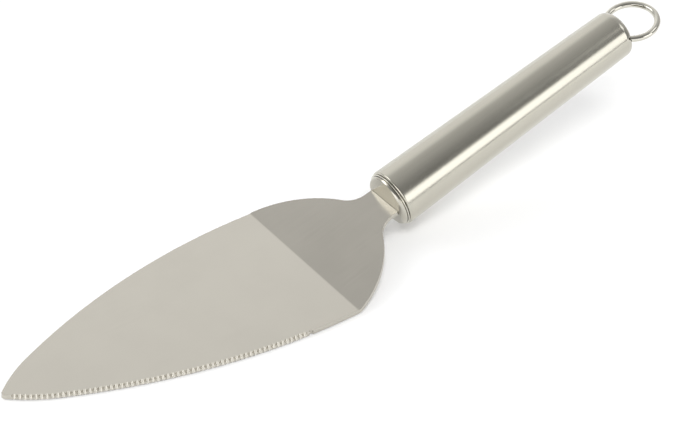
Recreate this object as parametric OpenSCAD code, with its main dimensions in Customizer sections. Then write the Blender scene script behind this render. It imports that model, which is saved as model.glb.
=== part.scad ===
// Cake server with a cranked, serrated sheet blade, a tapered tube handle and a hanging ring.
// Millimetres, +Z up. The blade's flat underside lies on z = 0 and the tip points along -X.
// The origin is below the middle of the whole length, on the plane of the underside.

/* [Blade] */
// Length from the tip to the bend line
blade_len = 120; // [90:1:150]
// Greatest width of the blade
blade_w = 62.4; // [50:0.2:76]
// Thickness of the blade's sheet
blade_t = 1.5; // [1:0.1:2]
// How far ahead of the tip the two long side curves would meet
side_overshoot = 5.4; // [3:0.2:12]
// Radius of the fuller curves that close the blade near its tip
tip_arc_r = 60; // [45:1:75]
// Rounding of the very tip
tip_r = 1.2; // [0.6:0.1:2]
// Distance from the bend line forward to the widest place
widest_ahead = 4.5; // [4:0.5:16]

/* [Crank] */
// Angle by which the rear of the blade and the handle rise
crank_angle = 17.9; // [12:0.1:24]
// Inside radius of the bend
bend_r = 2.5; // [1.5:0.1:4]
// Radius of the round shoulders behind the bend
shoulder_arc_r = 44; // [42:0.2:50]
// Distance from the bend line forward to the centres of the shoulder curves
shoulder_ahead = 10.8; // [9:0.2:12]
// Straight side left behind the bend line before the shoulder begins
shoulder_start = 1.2; // [1.1:0.1:3]
// Length of straight neck in front of the bolster
neck_run = 2.9; // [1:0.1:12]
// Width of the neck
neck_w = 14.6; // [12:0.2:14.8]
// Radius of the hollow between shoulder and neck
neck_fillet_r = 8.6; // [6:0.2:10]
// Width of the tang inside the bolster
tang_w = 10; // [6:0.5:10.5]
// Length of the tang behind the neck
tang_len = 14; // [8:1:30]

/* [Serration] */
// Spacing of the ground flutes along the edge
flute_pitch = 1.72; // [1.7:0.02:2.4]
// Radius of one flute
flute_r = 0.8; // [0.7:0.02:0.82]
// Share of the sheet's thickness that a flute takes away at the edge; above 1 it passes through
flute_depth_share = 1.12; // [1.06:0.02:1.3]
// Length over which a flute runs out on the top face
flute_run = 0.95; // [0.75:0.05:1.4]
// Radius of the small notch that ends the serration
end_notch_r = 0.7; // [0.5:0.1:1]
// Plain edge left in front of the bend line
plain_edge_len = 21.6; // [14:0.2:40]
// Plain edge left behind the tip, along the edge
plain_tip_len = 1; // [0.8:0.1:4]

/* [Bolster] */
// Diameter of the bolster's flat front face
bolster_face_d = 15; // [15:0.1:16]
// Radius of the bolster's rounded front edge
bolster_edge_r = 2.5; // [2:0.1:2.6]
// Length of the rounded edge along the handle
bolster_edge_run = 1.9; // [1.6:0.1:2]
// Angle by which the two halves of the front face lean back from the neck
facet_angle = 8; // [2:0.5:9]
// Diameter of the spigot that carries collar and tube
spigot_d = 17.4; // [17:0.1:18]
// Length of the spigot behind the rounded edge
spigot_len = 9; // [5:0.5:20]
// Thickness of the bolster's front wall
bolster_wall = 2.8; // [2.4:0.1:4]
// Thickness of the spigot's wall
spigot_wall = 1.2; // [0.8:0.1:2]
// Depth of the pocket that the neck sits in
pocket_depth = 1.5; // [0.8:0.1:2]
// Width of the collar ring along the handle, at its hub
collar_w = 0.9; // [0.8:0.1:1.6]
// Width of the collar ring's bead, which leaves a groove on either side
bead_w = 0.5; // [0.4:0.05:0.6]
// Diameter of the collar ring's hub
hub_d = 18.6; // [18:0.1:19]
// Outer diameter of the collar ring's bead
collar_d = 20.8; // [20:0.1:21]

/* [Handle tube] */
// Length of the tube
tube_len = 106.5; // [80:0.1:140]
// Diameter at the bolster end
tube_front_d = 21.6; // [21:0.1:24]
// Diameter at the cap end
tube_back_d = 18.3; // [17.8:0.1:21]
// Wall of the tube
tube_wall = 0.5; // [0.4:0.05:0.8]
// Rounding of the turned-in front lip
lip_r = 0.8; // [0.7:0.1:1.4]

/* [End cap] */
// Height of the cap that shows behind the tube
cap_h = 3.5; // [3.4:0.1:6]
// Rounding of the cap's edge
cap_edge_r = 3.2; // [2.8:0.1:3.3]
// Thickness of the cap's wall
cap_wall = 1.2; // [1:0.1:1.3]
// Length of the cap's spigot inside the tube
cap_spigot_len = 5; // [3:0.5:12]
// Thickness of the cap spigot's wall
cap_spigot_wall = 0.8; // [0.6:0.1:1.4]
// Rounding of the corners of the two slots that the ring passes through
slot_corner_r = 0.8; // [0.4:0.1:1]

/* [Hanging ring] */
// Radius of the ring to the middle of its wire
ring_r = 9.5; // [9.2:0.05:9.8]
// Diameter of the ring's wire
wire_d = 2.4; // [1.9:0.1:2.5]
// Distance of the ring's pivot inside the cap's end
ring_seat = 3; // [2.9:0.1:3.4]
// Gap round the wire where it passes the cap
ring_gap = 0.4; // [0.35:0.05:0.5]
// Angle that the ring swings either way from the handle's axis
ring_swing = 24; // [16:1:30]
// Angle at which the ring is drawn, dropped from the handle's axis
ring_drop = 4; // [0:0.5:10]
// Height of the ring's pivot above the handle's axis
ring_rise = 0.6; // [0:0.1:1]
// Depth at which the wire leaves the cap's rounded edge
slot_edge_fall = 0.5; // [0.3:0.1:0.6]

/* [Fits] */
// Gap round the tang inside the bolster
tang_gap = 0.05; // [0.03:0.01:0.1]
// Distance of the handle's axis below the middle of the sheet
axis_drop = 0.5; // [0:0.1:1]
// Gap that shows round the neck in the bolster's pocket
pocket_gap = 0.2; // [0.1:0.05:0.3]
// Radial gap between a spigot and what sits on it
spigot_gap = 0.05; // [0.03:0.01:0.1]

/* [Hidden] */
// Overrun of every cut
over = 1;
// Facets of round shapes
$fn = 96;

steel_brushed = [0.74, 0.73, 0.69];
steel_satin = [0.78, 0.77, 0.74];
steel_polished = [0.84, 0.83, 0.8];

// Angles at which neighbouring curves meet: too small to show, but enough to cross
side_meet = 1;
curve_meet = 2;
bend_meet = 3;
tip_meet = 5;

half_w = blade_w / 2;
half_neck = neck_w / 2;

half_t = blade_t / 2;

// Directions of the raised part and of its upper side, and the mitre between the two sheets
up_dir = [cos(crank_angle), sin(crank_angle)];
up_side = [-sin(crank_angle), cos(crank_angle)];
mitre = half_t * tan(crank_angle / 2);
bisector = [-sin(crank_angle / 2), cos(crank_angle / 2)];

// How far apart the centres of two round curves are that meet at a small angle
function centres_inside(r1, r2, meet) = sqrt(pow(r1, 2) + pow(r2, 2) - 2 * r1 * r2 * cos(meet));
function centres_outside(r1, r2, meet) = sqrt(pow(r1, 2) + pow(r2, 2) + 2 * r1 * r2 * cos(meet));

// Centres of the curves that bound the side at +Y, and where one passes into the next
side_run = blade_len - widest_ahead + side_overshoot;
side_arc_r = (pow(side_run, 2) + pow(half_w, 2)) / blade_w;
side_c = [-widest_ahead, half_w - side_arc_r * cos(side_meet)];
tip_c = [tip_r - blade_len, 0];
tip_to_side = norm(side_c - tip_c);
tip_reach = centres_inside(tip_arc_r, tip_r, tip_meet);
side_reach = centres_inside(side_arc_r, tip_arc_r, curve_meet);
tip_turn = acos((pow(tip_to_side, 2) + pow(tip_reach, 2) - pow(side_reach, 2)) / (2 * tip_to_side * tip_reach));
tip_heading = atan2(side_c.y - tip_c.y, side_c.x - tip_c.x) + tip_turn;
tip_arc_c = tip_c + tip_reach * [cos(tip_heading), sin(tip_heading)];
side_joint = side_c + (tip_arc_c - side_c) * side_arc_r / side_reach;
tip_joint = tip_arc_c + (tip_c - tip_arc_c) * tip_arc_r / tip_reach;

// Shoulder and neck behind the bend, in the plane of the raised part
shoulder_c = [
    -shoulder_ahead,
    half_w - sqrt(pow(shoulder_arc_r, 2) - pow(shoulder_start + shoulder_ahead, 2))
];
fillet_reach = centres_outside(shoulder_arc_r, neck_fillet_r, curve_meet);
fillet_rise = half_neck + neck_fillet_r * cos(curve_meet) - shoulder_c.y;
fillet_c = shoulder_c + [sqrt(pow(fillet_reach, 2) - pow(fillet_rise, 2)), fillet_rise];
shoulder_joint = shoulder_c + (fillet_c - shoulder_c) * shoulder_arc_r / fillet_reach;
neck_len = fillet_c.x + neck_run;
neck_end = neck_len + pocket_depth;

// Places along the handle's axis, from the bend line
spigot_at = neck_len + bolster_edge_run;
tube_at = spigot_at + collar_w;
cap_at = tube_at + tube_len;
handle_end = cap_at + cap_h;
pivot_at = handle_end - ring_seat;

// The slots beside the bar that holds the ring
wire_r = wire_d / 2;
ring_centre_in = ring_r - ring_seat;
slot_inner = sqrt(pow(ring_r - wire_r - ring_gap, 2) - pow(ring_centre_in + cap_wall, 2));
slot_outer = sqrt(pow(ring_r + wire_r + ring_gap, 2) - pow(ring_centre_in + slot_edge_fall, 2));
slot_half_h = ring_seat * tan(ring_swing) + wire_r / cos(ring_swing) + ring_gap;

// Angles of the edge, from square to the blade, where the flutes begin and end
edge_angle_start = asin((plain_edge_len - widest_ahead) / side_arc_r);
edge_angle_joint = asin((side_c.x - side_joint.x) / side_arc_r);
edge_angle_end = asin((tip_arc_c.x - tip_joint.x) / tip_arc_r);
side_edge_len = side_arc_r * (edge_angle_joint - edge_angle_start) * PI / 180;
tip_edge_len = tip_arc_r * (edge_angle_end - edge_angle_joint) * PI / 180;
flute_count = floor((side_edge_len + tip_edge_len - plain_tip_len) / flute_pitch);
flute_depth = blade_t * flute_depth_share;
flute_tilt = atan(flute_depth / flute_run);

// Whole length, from the tip to the far side of the ring
ring_end = pivot_at * cos(crank_angle) + (axis_drop - ring_rise) * sin(crank_angle)
    + 2 * ring_r * cos(crank_angle - ring_drop) + wire_r;
middle_x = (ring_end - blade_len) / 2;

// Puts a piece that is drawn from the bend line into the part's own frame
module place() {
    translate([-middle_x, 0, 0]) children();
}

// The raised frame: X runs up the handle, Z is square to the rear of the blade
module raised() {
    place() translate([0, 0, half_t]) rotate([0, -crank_angle, 0]) children();
}

// The handle's frame: the raised frame, lowered to the handle's axis
module on_axis() {
    raised() translate([0, 0, -axis_drop]) children();
}

// A profile of radius and distance, turned about the handle's axis
module turned() {
    on_axis() rotate([0, 90, 0]) rotate_extrude() children();
}

// A strip from low to high along X, reaching half to either side
module span(low, high, half) {
    polygon([[low, -half], [high, -half], [high, half], [low, half]]);
}

// The space between a round side of radius r about c and its mirror image
module lens(r, c) {
    intersection() {
        translate(c) circle(r = r, $fn = 360);
        translate([c.x, -c.y]) circle(r = r, $fn = 360);
    }
}

// What lies ahead of x and outside the shape given
module ahead_outside(x) {
    difference() {
        span(-blade_len - 2 * over, x, half_w + over);
        children();
    }
}

module front_outline() {
    difference() {
        span(-blade_len - over, over, half_w);
        ahead_outside(-widest_ahead) lens(side_arc_r, side_c);
        ahead_outside(side_joint.x) lens(tip_arc_r, tip_arc_c);
        ahead_outside(tip_joint.x) translate(tip_c) circle(r = tip_r);
    }
}

module rear_outline() {
    difference() {
        union() {
            intersection() {
                span(-over, fillet_c.x, half_w);
                lens(shoulder_arc_r, shoulder_c);
            }
            span(shoulder_joint.x, fillet_c.x, shoulder_joint.y);
        }
        for (side = [-1, 1]) translate([fillet_c.x, side * fillet_c.y]) circle(r = neck_fillet_r);
    }
    span(fillet_c.x - over, neck_end, half_neck);
    span(neck_end - over, neck_end + tang_len, tang_w / 2);
}

// What a round of radius r leaves of the corner at a crease, drawn from reach inside the crease
module crease_corner(crease, r, reach) {
    run = r * cos(bend_meet) * tan(crank_angle / 2);
    difference() {
        polygon([
            crease - [run, 0],
            crease - [run, reach],
            crease - reach * bisector,
            crease + run * up_dir - reach * up_side,
            crease + run * up_dir
        ]);
        translate(crease + r * cos(bend_meet) / cos(crank_angle / 2) * bisector) circle(r = r, $fn = 360);
    }
}

// The sheet seen from the side, bent at the origin, with the middle of its front part on the axis
module sheet_side() {
    far = neck_end + tang_len + over;
    top_crease = [-mitre, half_t];
    low_crease = [mitre, -half_t];
    difference() {
        union() {
            polygon([
                [-blade_len - over, -half_t],
                low_crease,
                far * up_dir - half_t * up_side,
                far * up_dir + half_t * up_side,
                top_crease,
                [-blade_len - over, half_t]
            ]);
            crease_corner(top_crease, bend_r, half_t);
        }
        crease_corner(low_crease, bend_r + blade_t, over);
    }
}

function edge_angle(run) = run < side_edge_len
    ? edge_angle_start + run / side_arc_r * 180 / PI
    : edge_angle_joint + (run - side_edge_len) / tip_arc_r * 180 / PI;

function edge_point(run) = run < side_edge_len
    ? [side_c.x, -side_c.y] - side_arc_r * [sin(edge_angle(run)), cos(edge_angle(run))]
    : [tip_arc_c.x, -tip_arc_c.y] - tip_arc_r * [sin(edge_angle(run)), cos(edge_angle(run))];

// One flute, ground into the top face and running out inward
module flute(run) {
    at = edge_point(run);
    translate([at.x, at.y, blade_t - flute_depth])
        rotate([0, 0, -90 - edge_angle(run)])
            rotate([0, 90 + flute_tilt, 0])
                translate([-flute_r, 0, -flute_run - flute_r - over])
                    cylinder(r = flute_r, h = flute_run + 2 * flute_r + 2 * over, $fn = 24);
}

// The notch that ends the serration on the side of the bend
module end_notch() {
    at = edge_point(-flute_pitch);
    translate([at.x, at.y, -over]) cylinder(r = end_notch_r, h = blade_t + 2 * over, $fn = 24);
}

module blade() {
    color(steel_brushed) difference() {
        intersection() {
            place() translate([0, half_w + over, half_t]) rotate([90, 0, 0])
                linear_extrude(blade_w + 2 * over) sheet_side();
            union() {
                place() translate([0, 0, -over]) linear_extrude(blade_t + 2 * over) front_outline();
                raised() translate([0, 0, -half_t - over]) linear_extrude(blade_t + 2 * over) rear_outline();
            }
        }
        place() for (i = [0 : flute_count - 1]) flute((i + 0.5) * flute_pitch);
        place() end_notch();
    }
}

module bolster() {
    face_r = bolster_face_d / 2;
    color(steel_satin) difference() {
        turned() difference() {
            union() {
                translate([0, neck_len]) square([face_r, bolster_edge_run]);
                intersection() {
                    translate([face_r, neck_len + bolster_edge_r]) circle(r = bolster_edge_r);
                    translate([face_r, neck_len]) square([bolster_edge_r, bolster_edge_run]);
                }
                translate([0, spigot_at]) square([spigot_d / 2, spigot_len]);
            }
            translate([0, neck_len + bolster_wall])
                square([spigot_d / 2 - spigot_wall, spigot_len + bolster_edge_r]);
        }
        for (side = [-1, 1]) raised() translate([neck_len, 0, side * half_t]) rotate([0, side * facet_angle, 0])
            translate([-collar_d, -collar_d, side > 0 ? 0 : -collar_d]) cube([collar_d, 2 * collar_d, collar_d]);
        raised() translate([neck_len - over, -half_neck - pocket_gap, -half_t - pocket_gap])
            cube([pocket_depth + over, neck_w + 2 * pocket_gap, blade_t + 2 * pocket_gap]);
        raised() translate([neck_len, -tang_w / 2 - tang_gap, -half_t - tang_gap])
            cube([bolster_wall + over, tang_w + 2 * tang_gap, blade_t + 2 * tang_gap]);
    }
}

// A hub that touches both neighbours, with a narrower bead whose outer side is round
module collar_ring() {
    hole_r = spigot_d / 2 + spigot_gap;
    bead_r = bead_w / 2;
    bead_at = spigot_at + collar_w / 2;
    color(steel_polished) turned() {
        translate([hole_r, spigot_at]) square([hub_d / 2 - hole_r, collar_w]);
        translate([hole_r, bead_at - bead_r]) square([collar_d / 2 - bead_r - hole_r, bead_w]);
        translate([collar_d / 2 - bead_r, bead_at]) circle(r = bead_r);
    }
}

// Filled profile of the tube, drawn in by a wall for its hollow
module tube_profile(inset) {
    front_r = tube_front_d / 2;
    back_r = tube_back_d / 2;
    translate([0, tube_at + inset]) square([front_r - lip_r, lip_r - inset]);
    intersection() {
        translate([front_r - lip_r, tube_at + lip_r]) circle(r = lip_r - inset);
        translate([front_r - lip_r, tube_at]) square([lip_r, lip_r]);
    }
    polygon([
        [0, tube_at + lip_r],
        [front_r - inset, tube_at + lip_r],
        [back_r - inset, cap_at],
        [0, cap_at]
    ]);
}

module handle_tube() {
    color(steel_brushed) turned() difference() {
        tube_profile(0);
        tube_profile(tube_wall);
        translate([0, tube_at - over]) square([spigot_d / 2 + spigot_gap, lip_r + over]);
    }
}

// Filled profile of the cap's rounded end, drawn in by a wall for its hollow
module cap_profile(inset) {
    flat_r = tube_back_d / 2 - cap_edge_r;
    round_at = handle_end - cap_edge_r;
    translate([0, cap_at]) square([tube_back_d / 2 - inset, round_at - cap_at]);
    translate([0, round_at]) square([flat_r, cap_edge_r - inset]);
    intersection() {
        translate([flat_r, round_at]) circle(r = cap_edge_r - inset);
        translate([flat_r, round_at]) square([cap_edge_r, cap_edge_r]);
    }
}

module end_cap() {
    plug_r = tube_back_d / 2 - tube_wall - spigot_gap;
    plug_at = cap_at - cap_spigot_len;
    color(steel_satin) difference() {
        turned() difference() {
            union() {
                cap_profile(0);
                translate([0, plug_at]) square([plug_r, cap_spigot_len]);
            }
            cap_profile(cap_wall);
            translate([0, plug_at - over]) square([plug_r - cap_spigot_wall, cap_spigot_len + over]);
        }
        for (side = [-1, 1]) on_axis() translate([handle_end - cap_edge_r, 0, ring_rise]) rotate([90, 0, 90])
            translate([side * (slot_inner + slot_outer) / 2, 0, 0]) linear_extrude(cap_edge_r + over) slot();
    }
}

// A slot with round corners, about its middle
module slot() {
    slot_w = slot_outer - slot_inner;
    square([slot_w, 2 * (slot_half_h - slot_corner_r)], center = true);
    square([slot_w - 2 * slot_corner_r, 2 * slot_half_h], center = true);
    for (across = [-1, 1], up = [-1, 1])
        translate([across * (slot_w / 2 - slot_corner_r), up * (slot_half_h - slot_corner_r)])
            circle(r = slot_corner_r, $fn = 48);
}

module hanging_ring() {
    color(steel_polished) on_axis() translate([pivot_at, 0, ring_rise]) rotate([0, ring_drop, 0])
        translate([ring_r, 0, 0]) rotate_extrude() translate([ring_r, 0]) circle(r = wire_r, $fn = 32);
}

blade();
bolster();
collar_ring();
handle_tube();
end_cap();
hanging_ring();
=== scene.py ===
"""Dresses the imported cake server: steel finishes, soft studio light and the camera.

Metres, in the CAD frame.
"""

import math

import bpy
from mathutils import Matrix, Vector


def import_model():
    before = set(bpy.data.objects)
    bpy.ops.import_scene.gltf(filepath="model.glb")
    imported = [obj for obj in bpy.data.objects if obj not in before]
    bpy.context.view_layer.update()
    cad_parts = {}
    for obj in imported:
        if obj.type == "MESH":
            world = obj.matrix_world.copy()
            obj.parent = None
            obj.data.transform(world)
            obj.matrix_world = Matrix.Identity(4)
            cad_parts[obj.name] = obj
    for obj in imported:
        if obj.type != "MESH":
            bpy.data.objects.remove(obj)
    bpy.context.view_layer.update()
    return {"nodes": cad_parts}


MM = 0.001

# Camera, as fitted to the outlines in the photo
CAMERA_AT = Vector((-374.83, -422.94, 459.53)) * MM
CAMERA_RIGHT = Vector((0.7856075, -0.6148643, 0.0690134))
CAMERA_UP = Vector((0.3399735, 0.5221711, 0.7821479))
CAMERA_BACK = Vector((-0.5169516, -0.5909985, 0.6192591))
SENSOR_W = 36.0
LENS = 109.64

# The handle's axis rises from the bend line, which lies square to the blade
CRANK = math.radians(17.9)

# Colours of the steel finishes
SHEET = (0.555, 0.53, 0.47)
TURNED = (0.55, 0.53, 0.465)
TUBE = (0.55, 0.53, 0.46)
POLISHED = (0.66, 0.64, 0.57)
WHITE = (1.0, 1.0, 1.0, 1.0)

# Finish of each piece: material, colour, frequency of the grain along X, Y and Z, turn of the grain about Y,
# middle and spread of the roughness, strength of the grain's relief
FINISHES = {
    "blade": ("brushed_sheet", SHEET, (40.0, 2600.0, 40.0), 0.0, 0.2, 0.03, 0.08),
    "bolster": ("satin_bolster", TURNED, (300.0, 700.0, 700.0), CRANK, 0.2, 0.04, 0.08),
    "collar_ring": ("polished_trim", POLISHED, (500.0, 500.0, 500.0), CRANK, 0.12, 0.04, 0.05),
    "handle_tube": ("satin_tube", TUBE, (30.0, 900.0, 900.0), CRANK, 0.23, 0.03, 0.06),
    "end_cap": ("satin_cap", TURNED, (600.0, 600.0, 600.0), CRANK, 0.22, 0.04, 0.08),
    "hanging_ring": ("polished_wire", POLISHED, (500.0, 500.0, 500.0), CRANK, 0.12, 0.04, 0.05),
}

# Noise of the grain and of the wear, the ends between which each drives the roughness, and the greys that
# each adds to the tint
GRAIN_NOISE = {"Scale": 1.0, "Detail": 4.0, "Roughness": 0.6}
WEAR_NOISE = {"Scale": 45.0, "Detail": 5.0, "Roughness": 0.55}
GRAIN_ENDS = (0.3, 0.7)
WEAR_ENDS = (0.35, 0.7)
STREAKS = [(0.25, 0.46), (0.75, 0.5)]
SMUDGES = [(0.38, 0.475), (0.6, 0.505)]
GRAIN_DEPTH = 0.02 * MM

# The floor, and the share of white that the camera and mirrors add to what the light gives: little near
# the object, where the shadow lies, and more where the lamps no longer reach
FLOOR_SIZE = 24.0
FLOOR_COLOUR = (0.92, 0.92, 0.92, 1.0)
FLOOR_DROP = 0.5 * MM
GLOW_NEAR = 0.1
GLOW_FAR = 0.9
GLOW_FROM = 0.35
GLOW_TO = 1.3

# The room round the set: brightest towards one side, and its level for each share of the turn towards it
ROOM_SIDE = (65.0, 15.0)
ROOM_LEVELS = [(0.0, 0.19), (0.36, 0.24), (0.63, 0.5), (0.87, 0.66), (0.94, 1.09), (1.0, 1.11)]

# Softboxes: azimuth and elevation seen from the middle, distance, width, height, level of the face, and
# whether steel mirrors the face; the one overhead only lights the floor and casts the shadow
SOFTBOXES = {
    "overhead": (-125.0, 60.0, 1.6, 0.6, 0.6, 10.4, False),
    "key": (132.0, 38.0, 1.5, 0.8, 0.6, 2.5, True),
    "low_strip": (-71.0, 20.0, 1.3, 0.75, 0.66, 1.95, True),
    "edge_card": (-112.0, 9.0, 1.3, 1.1, 0.36, 1.2, True),
    "rear_card": (-34.0, 48.0, 1.3, 0.5, 0.5, 1.4, True),
    "front_card": (-162.0, 14.0, 1.3, 1.2, 0.6, 1.7, True),
}
AIM = Vector((0.0, 0.0, 20.0)) * MM


class Nodes:
    """A short way to build a shader: add nodes and link their sockets."""

    def __init__(self, owner):
        self.owner = owner
        owner.use_nodes = True
        self.tree = owner.node_tree
        self.tree.nodes.clear()

    def add(self, kind, **values):
        node = self.tree.nodes.new("ShaderNode" + kind)
        for key, value in values.items():
            if key in node.inputs:
                node.inputs[key].default_value = value
            else:
                setattr(node, key, value)
        return node

    def link(self, source, target):
        self.tree.links.new(source, target)

    def ramp(self, source, stops):
        """Maps a factor through (position, grey) stops."""
        node = self.add("ValToRGB")
        elements = node.color_ramp.elements
        while len(elements) < len(stops):
            elements.new(1.0)
        for element, (position, grey) in zip(elements, stops):
            element.position = position
            element.color = (grey, grey, grey, 1.0)
        self.link(source, node.inputs["Fac"])
        return node.outputs["Color"]

    def combine(self, operation, first, second):
        """Joins two values by a sum or a product."""
        node = self.add("Math", operation=operation)
        self.link(first, node.inputs[0])
        self.link(second, node.inputs[1])
        return node.outputs["Value"]


def steel(name, colour, grain, turn, rough, spread, relief):
    """Brushed or satin steel, whose grain and wear vary the roughness and the tint."""
    n = Nodes(bpy.data.materials.new(name))
    out = n.add("OutputMaterial")
    shader = n.add("BsdfPrincipled", Metallic=1.0)
    n.link(shader.outputs["BSDF"], out.inputs["Surface"])
    place = n.add("TexCoord")
    turned = n.add("Mapping")
    turned.inputs["Rotation"].default_value = (0.0, turn, 0.0)
    stretched = n.add("Mapping")
    stretched.inputs["Scale"].default_value = grain
    n.link(place.outputs["Object"], turned.inputs["Vector"])
    n.link(turned.outputs["Vector"], stretched.inputs["Vector"])
    lines = n.add("TexNoise", **GRAIN_NOISE)
    n.link(stretched.outputs["Vector"], lines.inputs["Vector"])
    wear = n.add("TexNoise", **WEAR_NOISE)
    n.link(place.outputs["Object"], wear.inputs["Vector"])

    # Grain and wear give half of the roughness each
    halves = ((rough - spread) / 2, (rough + spread) / 2)
    fine = n.ramp(lines.outputs["Fac"], list(zip(GRAIN_ENDS, halves)))
    broad = n.ramp(wear.outputs["Fac"], list(zip(WEAR_ENDS, halves)))
    n.link(n.combine("ADD", fine, broad), shader.inputs["Roughness"])

    tint = n.add("Mix", data_type="RGBA", blend_type="MULTIPLY")
    tint.inputs["Factor"].default_value = 1.0
    tint.inputs["A"].default_value = (*colour, 1.0)
    streaks = n.ramp(lines.outputs["Fac"], STREAKS)
    smudges = n.ramp(wear.outputs["Fac"], SMUDGES)
    n.link(n.combine("ADD", streaks, smudges), tint.inputs["B"])
    n.link(tint.outputs["Result"], shader.inputs["Base Color"])

    bump = n.add("Bump", Strength=relief, Distance=GRAIN_DEPTH)
    n.link(lines.outputs["Fac"], bump.inputs["Height"])
    n.link(bump.outputs["Normal"], shader.inputs["Normal"])
    return n.owner


def pale_floor():
    """A white floor that keeps the shadow; the camera and mirrors see a share of white on top."""
    n = Nodes(bpy.data.materials.new("pale_floor"))
    out = n.add("OutputMaterial")
    cloth = n.add("BsdfDiffuse", Color=FLOOR_COLOUR)
    glow = n.add("Emission", Color=WHITE)
    path = n.add("LightPath")
    seen = n.combine("ADD", path.outputs["Is Camera Ray"], path.outputs["Is Glossy Ray"])
    seen = n.combine("ADD", seen, path.outputs["Is Transmission Ray"])
    place = n.add("TexCoord")
    away = n.add("VectorMath", operation="LENGTH")
    n.link(place.outputs["Object"], away.inputs[0])
    level = n.add("MapRange")
    level.inputs["From Min"].default_value = GLOW_FROM
    level.inputs["From Max"].default_value = GLOW_TO
    level.inputs["To Min"].default_value = GLOW_NEAR
    level.inputs["To Max"].default_value = GLOW_FAR
    n.link(away.outputs["Value"], level.inputs["Value"])
    n.link(n.combine("MULTIPLY", seen, level.outputs["Result"]), glow.inputs["Strength"])
    both = n.add("AddShader")
    n.link(cloth.outputs["BSDF"], both.inputs[0])
    n.link(glow.outputs["Emission"], both.inputs[1])
    n.link(both.outputs["Shader"], out.inputs["Surface"])
    return n.owner


def dress(frame):
    for node, finish in FINISHES.items():
        mesh = frame["nodes"][node].data
        mesh.materials.clear()
        mesh.materials.append(steel(*finish))


def add_floor():
    bpy.ops.mesh.primitive_plane_add(size=FLOOR_SIZE, location=(0.0, 0.0, -FLOOR_DROP))
    floor = bpy.context.object
    floor.name = "floor"
    floor.data.materials.append(pale_floor())


def direction(azimuth, elevation):
    """The unit vector towards an azimuth and an elevation in degrees."""
    turn, rise = math.radians(azimuth), math.radians(elevation)
    return Vector((math.cos(rise) * math.cos(turn), math.cos(rise) * math.sin(turn), math.sin(rise)))


def add_room():
    """A soft room that is light on one side and falls off smoothly towards the other."""
    world = bpy.data.worlds.new("room")
    bpy.context.scene.world = world
    n = Nodes(world)
    out = n.add("OutputWorld")
    room = n.add("Background", Strength=1.0)
    n.link(room.outputs["Background"], out.inputs["Surface"])
    place = n.add("TexCoord")
    facing = n.add("VectorMath", operation="DOT_PRODUCT")
    facing.inputs[1].default_value = direction(*ROOM_SIDE)
    n.link(place.outputs["Generated"], facing.inputs[0])
    share = n.add("MapRange")
    share.inputs["From Min"].default_value = -1.0
    n.link(facing.outputs["Value"], share.inputs["Value"])
    n.link(n.ramp(share.outputs["Result"], ROOM_LEVELS), room.inputs["Color"])


def add_softbox(name, azimuth, elevation, distance, width, height, level, mirrored):
    """An area lamp whose face shows the given level, where 1 is white."""
    light = bpy.data.lights.new(name, "AREA")
    light.shape = "RECTANGLE"
    light.size = width
    light.size_y = height
    light.energy = level * math.pi * width * height
    lamp = bpy.data.objects.new(name, light)
    lamp.visible_glossy = mirrored
    towards = direction(azimuth, elevation)
    lamp.location = AIM + distance * towards
    lamp.rotation_euler = (-towards).to_track_quat("-Z", "Y").to_euler()
    bpy.context.scene.collection.objects.link(lamp)


def add_light():
    add_room()
    for name, values in SOFTBOXES.items():
        add_softbox(name, *values)


def add_camera():
    data = bpy.data.cameras.new("camera")
    data.sensor_width = SENSOR_W
    data.lens = LENS
    camera = bpy.data.objects.new("camera", data)
    pose = Matrix((CAMERA_RIGHT, CAMERA_UP, CAMERA_BACK)).transposed().to_4x4()
    pose.translation = CAMERA_AT
    camera.matrix_world = pose
    bpy.context.scene.collection.objects.link(camera)
    bpy.context.scene.camera = camera


def main():
    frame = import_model()
    add_camera()
    dress(frame)
    add_floor()
    add_light()
    bpy.context.scene.view_settings.view_transform = "Standard"


main()
